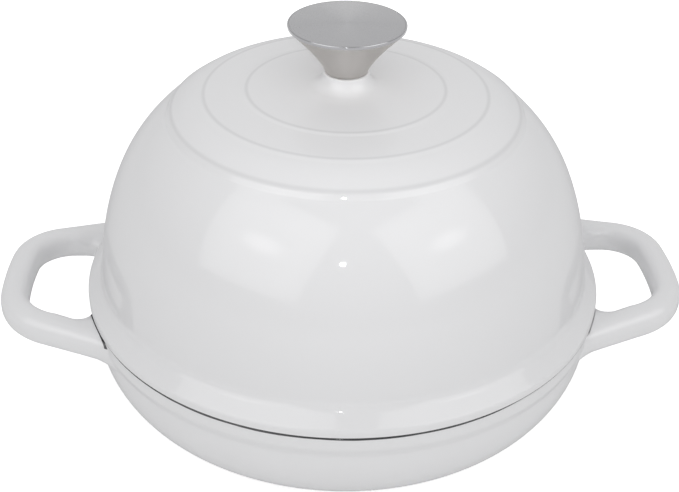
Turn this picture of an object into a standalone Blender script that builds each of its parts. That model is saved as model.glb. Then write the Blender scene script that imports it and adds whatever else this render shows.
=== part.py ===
"""A dutch oven of the bread-oven form, in enamelled cast iron.

A low pan with two loop handles cast on it carries a tall domed lid with three stepped
rings. A stainless steel knob stands on the lid, held by a screw from inside.
The origin is the middle of the pan's foot, +X runs along the handles and +Z is up.
All sizes are in metres.
"""

import math

import bmesh
import bpy

for old in list(bpy.data.objects):
    bpy.data.objects.remove(old, do_unlink=True)

# Clearances between pieces
TOUCH_GAP = 0.0003
LIP_CLEARANCE = 0.0010
SHANK_CLEARANCE = 0.0004

# Pan
PAN_HEIGHT = 0.0545
PAN_WALL_RADIUS = 0.1243
PAN_WALL = 0.0040
PAN_CORNER_RADIUS = 0.0380
PAN_FOOT_STEP = 0.0008
PAN_FOOT_INSET = 0.0015
BAND_PROUD = 0.0020
BAND_DEPTH = 0.0057
BAND_SHOULDER = 0.0050
RIM_ROUNDING = 0.0009

# Loop handles, measured from the rim band
HANDLE_LENGTH = 0.0434
HANDLE_WIDTH = 0.0134
HANDLE_THICKNESS = 0.0149
HANDLE_BELOW_RIM = 0.0004
HANDLE_ABOVE_RIM = 0.0018
HANDLE_RISE = math.radians(5.7)
HANDLE_STEP_RUN = 0.0045
ARM_ROOT_HALF_SPAN = 0.0490
ARM_SPLAY = math.radians(20.4)
HOLE_SPLAY = math.radians(5.9)
GRIP_BOW_RADIUS = 0.1880
GRIP_CORNER_RADIUS = 0.0256
ROOT_OUTER_FILLET = 0.0100
ROOT_INNER_FILLET = 0.0065
ROOT_UNDER_FILLET = 0.0050
ROOT_SINK = 0.0025
SECTION_POWER = 2.6

# Lid rim
LID_OVERHANG = 0.0007
LID_SEAT_ROUNDING = 0.0008
LID_EDGE_HEIGHT = 0.0032
LID_EDGE_ROUNDING = 0.0022
FLANGE_WIDTH = 0.0081
FLANGE_SLOPE = math.radians(50.0)
COVE_RADIUS = 0.0070
LIP_DEPTH = 0.0030
LIP_WIDTH = 0.0034

# Dome
LID_WALL = 0.0040
DOME_DRAFT = math.radians(1.75)
DOME_SIDE_RADIUS = 0.1226
DOME_SIDE_END = math.radians(23.8)
DOME_BEND_RADIUS = 0.0832
DOME_BEND_END = math.radians(57.0)
DOME_SHOULDER_RADIUS = 0.0273
DOME_SHOULDER_END = math.radians(84.4)
RING_RADII = (0.0809, 0.0655, 0.0456)
RING_STEP = 0.0006
RING_BLEND = 0.0018

# Knob
KNOB_RADIUS = 0.0272
KNOB_HEIGHT = 0.0234
KNOB_FOOT_RADIUS = 0.0098
KNOB_RIM = 0.0016
KNOB_RIM_ROUNDING = 0.0007
KNOB_FLARE_POWER = 1.30
KNOB_SHELL = 0.0013
DISC_THICKNESS = 0.0014
DISC_INSET = 0.0008
DISC_LEDGE = 0.0016

# Boss under the knob
BOSS_MARGIN = 0.0011
BOSS_FLARE = 0.0065
BOSS_HEIGHT = 0.0063
BOSS_EDGE_ROUNDING = 0.0006

# Knob fixing
INSERT_HEIGHT = 0.0110
INSERT_ROUNDING = 0.0006
SCREW_RADIUS = 0.0030
SCREW_POINT = 0.0008
SCREW_GRIP = 0.0095
SCREW_HEAD_RADIUS = 0.0058
SCREW_HEAD_HEIGHT = 0.0034
SCREW_HEAD_ROUNDING = 0.0024
SCREW_SLOT_WIDTH = 0.0012
SCREW_SLOT_DEPTH = 0.0016
FLAT_WASHER_RADIUS = 0.0090
FLAT_WASHER_THICKNESS = 0.0012
SPRING_WASHER_RADIUS = 0.0056
SPRING_WASHER_THICKNESS = 0.0016
SPRING_WASHER_GAP = math.radians(18.0)
WASHER_PAD_MARGIN = 0.0020
WASHER_PAD_DROP = 0.0008

# Facets
CHORD_ERROR = 0.0002
STEPS_LEAST = 20
STEPS_BAND = 3
STEPS_SECTION = 12
STEPS_FILLET = 4
STEPS_CORNER = 5
STEPS_BOW = 3
STEPS_BOSS = 4
STEPS_STEM = 6

# Levels and radii that follow from the sizes above
SEAM = PAN_HEIGHT + TOUCH_GAP
BAND_RADIUS = PAN_WALL_RADIUS + BAND_PROUD
PAN_INNER_RADIUS = PAN_WALL_RADIUS - PAN_WALL
ARM_ROOT_AT = math.sqrt(BAND_RADIUS ** 2 - ARM_ROOT_HALF_SPAN ** 2)
LID_RADIUS = BAND_RADIUS + LID_OVERHANG
LIP_RADIUS = PAN_INNER_RADIUS - LIP_CLEARANCE
DOME_FOOT_RADIUS = LID_RADIUS - FLANGE_WIDTH
BOSS_RADIUS = KNOB_FOOT_RADIUS + BOSS_MARGIN
BORE_RADIUS = SCREW_RADIUS + SHANK_CLEARANCE
WASHER_PAD_RADIUS = FLAT_WASHER_RADIUS + WASHER_PAD_MARGIN


def material(name, color, roughness, metallic):
    """A Principled material in one plain colour."""
    result = bpy.data.materials.new(name)
    result.use_nodes = True
    shader = result.node_tree.nodes["Principled BSDF"]
    shader.inputs["Base Color"].default_value = (*color, 1.0)
    shader.inputs["Roughness"].default_value = roughness
    shader.inputs["Metallic"].default_value = metallic
    result.diffuse_color = (*color, 1.0)
    return result


def blend(value):
    """Rises smoothly from 0 to 1 while value goes from 0 to 1."""
    value = min(max(value, 0.0), 1.0)
    return value * value * (3.0 - 2.0 * value)


def facets(radius, turn):
    """How many straight facets keep an arc within CHORD_ERROR of its true curve."""
    widest = 2 * math.acos(1 - CHORD_ERROR / radius)
    return math.ceil(abs(turn) / widest)


def arc(middle_x, middle_y, radius, start, end, steps=None):
    """Points of an arc in a plane, both ends included."""
    steps = steps or facets(radius, end - start)
    angles = [start + (end - start) * i / steps for i in range(steps + 1)]
    return [(middle_x + radius * math.cos(a), middle_y + radius * math.sin(a)) for a in angles]


def rounded_corner(r, z, size, side, up):
    """Rounds the corner at (r, z), from its upright side to its level side.

    side is 1 on an outer wall and -1 on an inner one; up is 1 on a top and -1 on an underside.
    """
    corner = arc(0.0, 0.0, size, 0.0, math.pi / 2)
    return [(r - side * (size - x), z - up * (size - y)) for x, y in corner]


def add_object(name, shape, finish):
    """Makes a shaded object of a bmesh, with its own material."""
    bmesh.ops.recalc_face_normals(shape, faces=shape.faces)
    mesh = bpy.data.meshes.new(name)
    shape.to_mesh(mesh)
    shape.free()
    mesh.shade_smooth()
    mesh.set_sharp_from_angle(angle=math.radians(40.0))
    mesh.materials.append(finish)
    result = bpy.data.objects.new(name, mesh)
    bpy.context.scene.collection.objects.link(result)
    return result


def turned(outline, gap=0.0):
    """Turns a closed (radius, height) outline about the Z axis; gap leaves it open by that angle."""
    turn = 2 * math.pi - gap
    steps = max(facets(max(r for r, _ in outline), turn), STEPS_LEAST)
    shape = bmesh.new()
    verts = [shape.verts.new((r, 0.0, z)) for r, z in outline]
    edges = []
    for a, b in zip(verts, verts[1:] + verts[:1]):
        if a.co.x > 0.0 or b.co.x > 0.0:
            edges.append(shape.edges.new((a, b)))
    bmesh.ops.spin(shape, geom=verts + edges, cent=(0, 0, 0), axis=(0, 0, 1), angle=turn, steps=steps)
    bmesh.ops.remove_doubles(shape, verts=shape.verts, dist=1e-6)
    if gap:
        bmesh.ops.holes_fill(shape, edges=[e for e in shape.edges if e.is_boundary], sides=0)
    return shape


def use_as_tool(body, tool, operation):
    """Unites body with tool, or cuts tool out of it, by a Boolean modifier."""
    tool.hide_render = True
    tool.display_type = "WIRE"
    change = body.modifiers.new(tool.name, "BOOLEAN")
    change.operation = operation
    change.solver = "EXACT"
    change.object = tool


def pan_outline():
    """The pan's half section: foot, round corner, rim band, mouth, inner wall and floor."""
    middle_r = PAN_WALL_RADIUS - PAN_CORNER_RADIUS
    middle_z = PAN_FOOT_STEP + PAN_CORNER_RADIUS
    foot_radius = middle_r - PAN_FOOT_INSET
    shoulder_z = PAN_HEIGHT - BAND_DEPTH - BAND_SHOULDER
    inner_corner = PAN_CORNER_RADIUS - PAN_WALL
    outline = [(0.0, 0.0), (foot_radius, 0.0), (foot_radius + PAN_FOOT_INSET / 2, PAN_FOOT_STEP)]
    outline += arc(middle_r, middle_z, PAN_CORNER_RADIUS, -math.pi / 2, 0.0)
    for i in range(STEPS_BAND + 1):
        share = i / STEPS_BAND
        outline.append((PAN_WALL_RADIUS + BAND_PROUD * blend(share), shoulder_z + BAND_SHOULDER * share))
    outline += rounded_corner(BAND_RADIUS, PAN_HEIGHT, RIM_ROUNDING, 1, 1)
    outline += reversed(rounded_corner(PAN_INNER_RADIUS, PAN_HEIGHT, RIM_ROUNDING, -1, 1))
    outline += reversed(arc(middle_r, middle_z, inner_corner, -math.pi / 2, 0.0))
    outline.append((0.0, middle_z - inner_corner))
    return outline


def far_crossing(x, y, along, reach):
    """Goes from (x, y) in the direction along to where it is reach away from the middle."""
    half = x * along[0] + y * along[1]
    step = -half + math.sqrt(half ** 2 - x ** 2 - y ** 2 + reach ** 2)
    return x + along[0] * step, y + along[1] * step


def corner_middle(bow_x):
    """Middle of the arcs at the loop's corner, which both edges share."""
    x = ARM_ROOT_AT - math.sin(ARM_SPLAY) * GRIP_CORNER_RADIUS - bow_x
    y = ARM_ROOT_HALF_SPAN - math.cos(ARM_SPLAY) * GRIP_CORNER_RADIUS
    along = (math.cos(ARM_SPLAY), -math.sin(ARM_SPLAY))
    x, y = far_crossing(x, y, along, GRIP_BOW_RADIUS - GRIP_CORNER_RADIUS)
    return x + bow_x, y


def handle_edge(side, splay, fillet):
    """One edge of the loop in plan, from the pan's wall to the middle of the grip.

    side is 1 for the loop's outer edge and -1 for the edge of its hole.
    """
    offset = side * HANDLE_WIDTH / 2
    corner = GRIP_CORNER_RADIUS + offset
    bow = GRIP_BOW_RADIUS + offset
    bow_x = BAND_RADIUS + HANDLE_LENGTH - HANDLE_WIDTH / 2 - GRIP_BOW_RADIUS
    corner_x, corner_y = corner_middle(bow_x)
    along = (math.cos(splay), -math.sin(splay))
    outward = (math.sin(splay), math.cos(splay))

    # Fillet between the arm's edge and the pan's round wall
    fillet_x = corner_x + outward[0] * (corner + side * fillet)
    fillet_y = corner_y + outward[1] * (corner + side * fillet)
    fillet_x, fillet_y = far_crossing(fillet_x, fillet_y, along, BAND_RADIUS + fillet)
    wall_angle = math.atan2(-fillet_y, -fillet_x)
    line_angle = math.atan2(-outward[1] * side, -outward[0] * side)
    turn = (line_angle - wall_angle + math.pi) % (2 * math.pi) - math.pi
    edge = arc(fillet_x, fillet_y, fillet, wall_angle, wall_angle + turn, STEPS_FILLET)

    # Corner between the arm and the bowed grip
    corner_end = math.atan2(corner_y, corner_x - bow_x)
    edge_corner = arc(corner_x, corner_y, corner, math.pi / 2 - splay, corner_end, STEPS_CORNER)
    middle = ((edge[-1][0] + edge_corner[0][0]) / 2, (edge[-1][1] + edge_corner[0][1]) / 2)
    return edge + [middle] + edge_corner + arc(bow_x, 0.0, bow, corner_end, 0.0, STEPS_BOW)[1:]


def handle_stations():
    """Points on the loop's outer edge and its hole's edge, and how far each section hangs lower."""
    edges = []
    sunk = 1 - ROOT_SINK / BAND_RADIUS
    for side, splay, fillet in ((1, ARM_SPLAY, ROOT_OUTER_FILLET), (-1, HOLE_SPLAY, ROOT_INNER_FILLET)):
        edge = handle_edge(side, splay, fillet)
        edges.append([(edge[0][0] * sunk, edge[0][1] * sunk)] + edge)
    count = len(edges[0])
    hang = [ROOT_UNDER_FILLET * (1 - blend((i - 1) / (STEPS_FILLET + 1))) for i in range(count)]
    stations = list(zip(*edges, hang))
    mirrored = [((o[0], -o[1]), (n[0], -n[1]), h) for o, n, h in stations[:-1]]
    return stations + mirrored[::-1]


def section_point(turn):
    """A point of the bar's section, as shares of its half width and half thickness."""
    power = 2 / SECTION_POWER
    across = math.copysign(abs(math.cos(turn)) ** power, math.cos(turn))
    lift = math.copysign(abs(math.sin(turn)) ** power, math.sin(turn))
    return across, lift


def handle_top(x, y):
    """Height of the loop's top: under the lid's edge at the wall, and above the rim past it."""
    root = PAN_HEIGHT - HANDLE_BELOW_RIM
    free = PAN_HEIGHT + HANDLE_ABOVE_RIM + math.tan(HANDLE_RISE) * (x - LID_RADIUS)
    past_lid = math.hypot(x, y) - LID_RADIUS - TOUCH_GAP
    return root + (free - root) * blend(past_lid / HANDLE_STEP_RUN)


def add_handle_shape(name):
    """A loop handle as a closed bar, with both ends sunk in the pan's wall."""
    shape = bmesh.new()
    previous = None
    for outer, inner, hang in handle_stations():
        middle_x = (outer[0] + inner[0]) / 2
        middle_y = (outer[1] + inner[1]) / 2
        middle_z = handle_top(middle_x, middle_y) - HANDLE_THICKNESS / 2
        ring = []
        for i in range(STEPS_SECTION):
            across, lift = section_point(2 * math.pi * i / STEPS_SECTION)
            depth = HANDLE_THICKNESS / 2 + (hang if lift < 0 else 0.0)
            x = middle_x + across * (outer[0] - inner[0]) / 2
            y = middle_y + across * (outer[1] - inner[1]) / 2
            ring.append(shape.verts.new((x, y, middle_z + lift * depth)))
        sides = [shape.edges.new((a, b)) for a, b in zip(ring, ring[1:] + ring[:1])]
        if previous:
            bmesh.ops.bridge_loops(shape, edges=previous + sides)
        else:
            shape.faces.new(ring)
        previous = sides
    shape.faces.new(ring)
    return add_object(name, shape, enamel)


def flange_outline():
    """The lid's rim from its seat outward and up: edge, sloping top and cove."""
    slope = FLANGE_SLOPE
    edge_r = LID_RADIUS - LID_EDGE_ROUNDING
    slope_r = edge_r + LID_EDGE_ROUNDING * math.cos(slope)
    slope_z = LID_EDGE_HEIGHT + LID_EDGE_ROUNDING * math.sin(slope)
    cove_run = COVE_RADIUS * (math.cos(DOME_DRAFT) - math.cos(slope))
    length = (slope_r - cove_run - DOME_FOOT_RADIUS) / math.sin(slope)
    cove_r = DOME_FOOT_RADIUS + COVE_RADIUS * math.cos(DOME_DRAFT)
    cove_z = slope_z + length * math.cos(slope) + COVE_RADIUS * math.sin(slope)
    outline = rounded_corner(LID_RADIUS, 0.0, LID_SEAT_ROUNDING, 1, -1)[::-1]
    outline += arc(edge_r, LID_EDGE_HEIGHT, LID_EDGE_ROUNDING, 0.0, slope)
    outline += arc(cove_r, cove_z, COVE_RADIUS, math.pi + slope, math.pi + DOME_DRAFT)
    return outline


def dome_arcs():
    """The dome's side, bend, shoulder and crown as (middle r, middle z, radius, start, end)."""
    arcs = []
    edge_r, edge_z, start = DOME_FOOT_RADIUS, flange_outline()[-1][1], DOME_DRAFT
    for radius, end in ((DOME_SIDE_RADIUS, DOME_SIDE_END), (DOME_BEND_RADIUS, DOME_BEND_END),
                        (DOME_SHOULDER_RADIUS, DOME_SHOULDER_END)):
        middle_r = edge_r - radius * math.cos(start)
        middle_z = edge_z - radius * math.sin(start)
        arcs.append((middle_r, middle_z, radius, start, end))
        edge_r, edge_z = middle_r + radius * math.cos(end), middle_z + radius * math.sin(end)
        start = end
    crown_radius = edge_r / math.cos(start)
    arcs.append((0.0, edge_z - crown_radius * math.sin(start), crown_radius, start, math.pi / 2))
    return arcs


def dome_height(r, wall=0.0):
    """Height of the plain dome at radius r; a wall's thickness gives its inside instead."""
    ends = [(side, side[0] + (side[2] - wall) * math.cos(side[4])) for side in DOME_ARCS]
    middle_r, middle_z, radius, _, _ = next(side for side, end_r in ends if r >= end_r - 1e-9)
    return middle_z + math.sqrt(max((radius - wall) ** 2 - (r - middle_r) ** 2, 0.0))


def ring_lift(r):
    """How far the stepped rings raise the dome at radius r."""
    return RING_STEP * sum(blend((ring - r) / RING_BLEND + 0.5) for ring in RING_RADII)


def dome_radii(wall, end):
    """Radii at the dome's facets, from its foot in to end."""
    radii = []
    for middle_r, _, radius, start, stop in DOME_ARCS:
        radii += [r for r, _ in arc(middle_r, 0.0, radius - wall, start, stop)[:-1]]
    return [r for r in radii if r > end]


def boss_flank():
    """The boss's flank as a quarter of an ellipse, from the dome up to its top edge."""
    turns = [math.pi / 2 * (1 - i / STEPS_BOSS) for i in range(STEPS_BOSS)]
    flare = [BOSS_RADIUS + BOSS_FLARE * (1 - math.cos(a)) for a in turns]
    return [(r, BOSS_TOP - BOSS_HEIGHT * math.sin(a)) for r, a in zip(flare, turns)]


def lid_outline():
    """The lid's half section: seat, rim, dome with its rings, boss, screw hole, inside and lip."""
    radii = dome_radii(0.0, BOSS_RADIUS + BOSS_FLARE)[1:]
    for ring in RING_RADII:
        radii = [r for r in radii if abs(r - ring) > RING_BLEND]
        radii += [ring + RING_BLEND / 2, ring, ring - RING_BLEND / 2]
    inside = dome_radii(LID_WALL, WASHER_PAD_RADIUS)
    outline = [(LIP_RADIUS, 0.0)] + flange_outline()
    outline += [(r, dome_height(r) + ring_lift(r)) for r in sorted(radii, reverse=True)]
    outline += boss_flank()
    outline += rounded_corner(BOSS_RADIUS, BOSS_TOP, BOSS_EDGE_ROUNDING, 1, 1)
    outline += [(BORE_RADIUS, BOSS_TOP), (BORE_RADIUS, PAD_LEVEL), (WASHER_PAD_RADIUS, PAD_LEVEL)]
    outline += [(r, dome_height(r, LID_WALL)) for r in sorted(inside)]
    outline += [(LIP_RADIUS - LIP_WIDTH, -LIP_DEPTH), (LIP_RADIUS, -LIP_DEPTH)]
    return outline


def stem_radius(rise):
    """Radius of the knob's stem, at a share of its height between the foot and the rim."""
    return KNOB_FOOT_RADIUS + (KNOB_RADIUS - KNOB_FOOT_RADIUS) * rise ** KNOB_FLARE_POWER


def knob_body_outline():
    """The knob's shell: flared stem, rounded rim, ledge for the disc, and hollow neck."""
    stem = KNOB_HEIGHT - KNOB_RIM
    disc_edge = KNOB_RADIUS - DISC_INSET
    ledge_z = KNOB_HEIGHT - DISC_THICKNESS - TOUCH_GAP
    shares = [i / STEPS_STEM for i in range(STEPS_STEM + 1)]
    outline = [(stem_radius(share), stem * share) for share in shares]
    outline += rounded_corner(KNOB_RADIUS, KNOB_HEIGHT, KNOB_RIM_ROUNDING, 1, 1)
    outline += [(disc_edge, KNOB_HEIGHT), (disc_edge, ledge_z), (disc_edge - DISC_LEDGE, ledge_z)]
    outline += [(stem_radius(share) - KNOB_SHELL, stem * share) for share in shares[-2::-1]]
    return outline


def disc_outline():
    """The disc that closes the knob's shell, from its underside at height 0."""
    radius = KNOB_RADIUS - DISC_INSET - TOUCH_GAP
    return [(0.0, 0.0), (radius, 0.0), (radius, DISC_THICKNESS), (0.0, DISC_THICKNESS)]


def insert_outline():
    """The threaded bush that fills the knob's neck."""
    radius = KNOB_FOOT_RADIUS - KNOB_SHELL - TOUCH_GAP
    outline = [(BORE_RADIUS, 0.0), (radius, 0.0)]
    outline += rounded_corner(radius, INSERT_HEIGHT, INSERT_ROUNDING, 1, 1)
    return outline + [(BORE_RADIUS, INSERT_HEIGHT)]


def washer_outline(outer, thickness):
    """A washer's section, hanging down from height 0."""
    return [(BORE_RADIUS, -thickness), (outer, -thickness), (outer, 0.0), (BORE_RADIUS, 0.0)]


def screw_outline(length):
    """The knob screw: a domed head that hangs below height 0, and a shank of this length."""
    low = -SCREW_HEAD_HEIGHT
    outline = [(0.0, low)]
    outline += rounded_corner(SCREW_HEAD_RADIUS, low, SCREW_HEAD_ROUNDING, 1, -1)[::-1]
    outline += [(SCREW_HEAD_RADIUS, 0.0), (SCREW_RADIUS, 0.0), (SCREW_RADIUS, length - SCREW_POINT)]
    return outline + [(SCREW_RADIUS - SCREW_POINT, length), (0.0, length)]


def add_pan():
    """The pan's casting, with a loop handle joined to its wall on each side."""
    pan = add_object("base_pan", turned(pan_outline()), enamel)
    for name, turn in (("handle_shape_right", 0.0), ("handle_shape_left", math.pi)):
        handle = add_handle_shape(name)
        handle.rotation_euler.z = turn
        use_as_tool(pan, handle, "UNION")


def add_lid_piece(name, shape, finish, group, height):
    """A piece that moves with the lid, on the lid's axis at this height above the seam."""
    piece = add_object(name, shape, finish)
    piece.parent = group
    piece.location.z = height
    return piece


def add_slot(screw):
    """The straight slot across the screw's head."""
    shape = bmesh.new()
    bmesh.ops.create_cube(shape, size=1.0)
    size = (SCREW_HEAD_RADIUS * 3, SCREW_SLOT_WIDTH, SCREW_SLOT_DEPTH * 2)
    bmesh.ops.scale(shape, verts=shape.verts, vec=size)
    bmesh.ops.translate(shape, verts=shape.verts, vec=(0.0, 0.0, -SCREW_HEAD_HEIGHT))
    slot = add_object("screw_slot_cutter", shape, steel)
    slot.parent = screw.parent
    slot.location = screw.location
    use_as_tool(screw, slot, "DIFFERENCE")


def add_knob(group):
    """The knob on its boss: the shell, the disc that closes it and the bush in its neck."""
    disc_z = KNOB_LEVEL + KNOB_HEIGHT - DISC_THICKNESS
    add_lid_piece("knob_body", turned(knob_body_outline()), steel, group, KNOB_LEVEL)
    add_lid_piece("knob_top", turned(disc_outline()), brushed_steel, group, disc_z)
    add_lid_piece("knob_insert", turned(insert_outline()), steel, group, KNOB_LEVEL)


def add_fixing(group):
    """The screw and its two washers, stacked under the pad inside the dome."""
    flat_z = PAD_LEVEL - TOUCH_GAP
    spring_z = flat_z - FLAT_WASHER_THICKNESS - TOUCH_GAP
    head_z = spring_z - SPRING_WASHER_THICKNESS - TOUCH_GAP
    flat = turned(washer_outline(FLAT_WASHER_RADIUS, FLAT_WASHER_THICKNESS))
    spring = turned(washer_outline(SPRING_WASHER_RADIUS, SPRING_WASHER_THICKNESS), SPRING_WASHER_GAP)
    shape = turned(screw_outline(KNOB_LEVEL + SCREW_GRIP - head_z))
    add_lid_piece("flat_washer", flat, steel, group, flat_z)
    add_lid_piece("spring_washer", spring, steel, group, spring_z)
    add_slot(add_lid_piece("knob_screw", shape, steel, group, head_z))


def add_lid():
    """The lid's casting with its knob and fixing, on an empty at the seam on the lid's axis."""
    group = bpy.data.objects.new("lid_group", None)
    group.location.z = SEAM
    bpy.context.scene.collection.objects.link(group)
    add_lid_piece("dome_lid", turned(lid_outline()), enamel, group, 0.0)
    add_knob(group)
    add_fixing(group)


# The dome's shape and the levels on it, above the seam
DOME_ARCS = dome_arcs()
BOSS_TOP = dome_height(0.0) + ring_lift(0.0) + BOSS_HEIGHT
KNOB_LEVEL = BOSS_TOP + TOUCH_GAP
PAD_LEVEL = dome_height(0.0, LID_WALL) - WASHER_PAD_DROP

enamel = material("white_enamel", (0.80, 0.80, 0.81), 0.12, 0.0)
steel = material("stainless_steel", (0.62, 0.60, 0.57), 0.25, 1.0)
brushed_steel = material("brushed_steel", (0.58, 0.58, 0.59), 0.35, 1.0)
add_pan()
add_lid()
print(f"whole height {SEAM + KNOB_LEVEL + KNOB_HEIGHT:.4f}, span {2 * (BAND_RADIUS + HANDLE_LENGTH):.4f}")
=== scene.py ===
# %% [markdown]
# # A white enamelled dutch oven
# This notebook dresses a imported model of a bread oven: a low cast-iron pan with two loop handles,
# a tall domed lid with three stepped rings, and a stainless steel knob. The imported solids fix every
# place and size. Here each casting is modelled again with a finer surface, gets its enamel or its
# brushed steel, and is lit like a product on a white table.

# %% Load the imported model
import math
import bpy
from mathutils import Matrix, Vector


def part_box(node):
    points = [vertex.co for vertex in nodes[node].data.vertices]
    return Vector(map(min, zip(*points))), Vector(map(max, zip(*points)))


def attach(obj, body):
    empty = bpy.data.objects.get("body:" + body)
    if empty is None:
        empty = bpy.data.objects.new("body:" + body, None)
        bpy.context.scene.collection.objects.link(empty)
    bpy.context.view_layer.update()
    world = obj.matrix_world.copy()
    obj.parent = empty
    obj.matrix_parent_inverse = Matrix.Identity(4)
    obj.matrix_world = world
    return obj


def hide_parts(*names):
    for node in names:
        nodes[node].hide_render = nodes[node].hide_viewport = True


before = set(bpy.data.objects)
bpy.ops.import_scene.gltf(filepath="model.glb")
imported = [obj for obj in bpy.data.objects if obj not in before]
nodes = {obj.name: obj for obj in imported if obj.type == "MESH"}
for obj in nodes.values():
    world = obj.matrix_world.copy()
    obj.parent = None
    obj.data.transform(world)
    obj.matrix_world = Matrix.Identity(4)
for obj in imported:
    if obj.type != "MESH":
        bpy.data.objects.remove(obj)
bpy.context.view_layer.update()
print("nodes:", ", ".join(sorted(nodes)))

# %% [markdown]
# Sizes come first. The lid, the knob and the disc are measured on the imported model, so that a new
# piece always lies where its solid lies. What a box can't tell, such as a wall's thickness or the
# radius of a corner, is a named value in metres.

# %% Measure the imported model
lid_low, lid_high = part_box("dome_lid")
knob_low, knob_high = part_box("knob_body")
disc_low, disc_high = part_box("knob_top")
TOUCH_GAP = 0.0003
LIP_DEPTH = 0.0030
SEAT = lid_low.z + LIP_DEPTH
PAN_TOP = SEAT - TOUCH_GAP
RIM_RADIUS = lid_high.x
print(f"pan top at {PAN_TOP * 1000:.1f} mm, rim radius {RIM_RADIUS * 1000:.1f} mm")

# %% [markdown]
# Pan, lid, knob and disc are all round, so they share one way of modelling: half a section is
# drawn as a line of points, one vertex extruded to the next, and then spun about the upright axis.
# The spin leaves a seam and a heap of points on the axis. Merging by distance closes both, and
# recalculating the normals turns every face outwards.

# %% Helpers for drawing and spinning a section
SPIN_STEPS = 288
MERGE_DISTANCE = 0.000002
SMOOTH_ANGLE = math.radians(32)


def arc(r, z, size, start, end, steps):
    """Points (radius, height) on an arc about (r, z), between two angles in degrees."""
    turns = [math.radians(start + (end - start) * i / steps) for i in range(steps + 1)]
    return [(r + size * math.cos(t), z + size * math.sin(t)) for t in turns]


def draw_line(name, points):
    """A line of vertices through 3D points, each extruded from the one before. Stays in edit mode."""
    bpy.ops.object.select_all(action="DESELECT")
    bpy.ops.mesh.primitive_plane_add(size=0.001)
    piece = bpy.context.object
    piece.name = piece.data.name = name
    bpy.ops.object.mode_set(mode="EDIT")
    bpy.ops.mesh.select_mode(type="VERT")
    bpy.ops.mesh.select_all(action="SELECT")
    bpy.ops.mesh.merge(type="CENTER")
    place = Vector(points[0])
    bpy.ops.transform.translate(value=place)
    for point in points[1:]:
        step = Vector(point) - place
        bpy.ops.mesh.extrude_vertices_move(TRANSFORM_OT_translate={"value": step})
        place += step
    return piece


def finish_mesh(piece):
    """Leaves edit mode with merged points, outward faces and smooth shading."""
    bpy.ops.mesh.select_all(action="SELECT")
    bpy.ops.mesh.remove_doubles(threshold=MERGE_DISTANCE)
    bpy.ops.mesh.normals_make_consistent(inside=False)
    bpy.ops.object.mode_set(mode="OBJECT")
    bpy.ops.object.shade_smooth_by_angle(angle=SMOOTH_ANGLE)
    print(f"{piece.name}: {len(piece.data.polygons)} faces")
    return piece


def spin_piece(name, outline, steps=SPIN_STEPS):
    """Draws a half section of (radius, height) points and spins it about the Z axis."""
    piece = draw_line(name, [(r, 0.0, z) for r, z in outline])
    bpy.ops.mesh.select_all(action="SELECT")
    bpy.ops.mesh.spin(steps=steps, angle=2 * math.pi, center=(0, 0, 0), axis=(0, 0, 1))
    return finish_mesh(piece)


# %% [markdown]
# The pan is one iron casting. Its half section runs from the middle of the foot round the wide lower
# corner, up the wall, out over a shallow shoulder to the rim band, over the rounded lip and down
# the inside. The section could be a subdivided cylinder pushed into shape, but a drawn section
# keeps each radius exact, and a small radius decides where a glossy edge catches the light.

# %% Spin the pan
PAN_WALL_RADIUS = 0.1243
PAN_WALL = 0.0040
PAN_CORNER = 0.0380
FOOT_STEP = 0.0008
FOOT_INSET = 0.0015
BAND_PROUD = 0.0020
BAND_DEPTH = 0.0057
BAND_SHOULDER = 0.0070
RIM_ROUNDING = 0.0009
BAND_RADIUS = PAN_WALL_RADIUS + BAND_PROUD
MOUTH_RADIUS = PAN_WALL_RADIUS - PAN_WALL
OUTSIDE_CORNER_STEPS = 36
INSIDE_CORNER_STEPS = 24
SHOULDER_STEPS = 10
BAND_STEPS = 4
RIM_STEPS = 6


def ease(value):
    """Rises smoothly from 0 to 1."""
    value = min(max(value, 0.0), 1.0)
    return value * value * (3.0 - 2.0 * value)


def pan_section():
    """The pan's half section, from the middle of the foot to the middle of the floor inside."""
    corner_r, corner_z = PAN_WALL_RADIUS - PAN_CORNER, FOOT_STEP + PAN_CORNER
    shoulder_z = PAN_TOP - BAND_DEPTH - BAND_SHOULDER
    rim_z = PAN_TOP - RIM_ROUNDING
    line = [(0.0, 0.0), (corner_r - FOOT_INSET, 0.0)]
    line += arc(corner_r, corner_z, PAN_CORNER, -90, 0, OUTSIDE_CORNER_STEPS)
    for i in range(SHOULDER_STEPS + 1):
        shoulder_r = PAN_WALL_RADIUS + BAND_PROUD * ease(i / SHOULDER_STEPS)
        line.append((shoulder_r, shoulder_z + BAND_SHOULDER * i / SHOULDER_STEPS))
    line += [(BAND_RADIUS, PAN_TOP - BAND_DEPTH * (1 - i / BAND_STEPS)) for i in range(1, BAND_STEPS)]
    line += arc(BAND_RADIUS - RIM_ROUNDING, rim_z, RIM_ROUNDING, 0, 90, RIM_STEPS)
    line += arc(MOUTH_RADIUS + RIM_ROUNDING, rim_z, RIM_ROUNDING, 90, 180, RIM_STEPS)
    line += arc(corner_r, corner_z, PAN_CORNER - PAN_WALL, 0, -90, INSIDE_CORNER_STEPS)
    return line + [(0.0, corner_z - PAN_CORNER + PAN_WALL)]


pan = spin_piece("pan", pan_section())

# %% [markdown]
# The loop handles are cast in one with the pan. Each is drawn in plan, as the two edges of a bent
# bar: out from the wall in a fillet, along the splayed arm, round the corner and along the bowed
# grip. A curve with a bevel would be quicker, but a swept section can't widen into the fillets
# where the arms meet the wall. So both edges are worked out point by point, in pairs.

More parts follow.
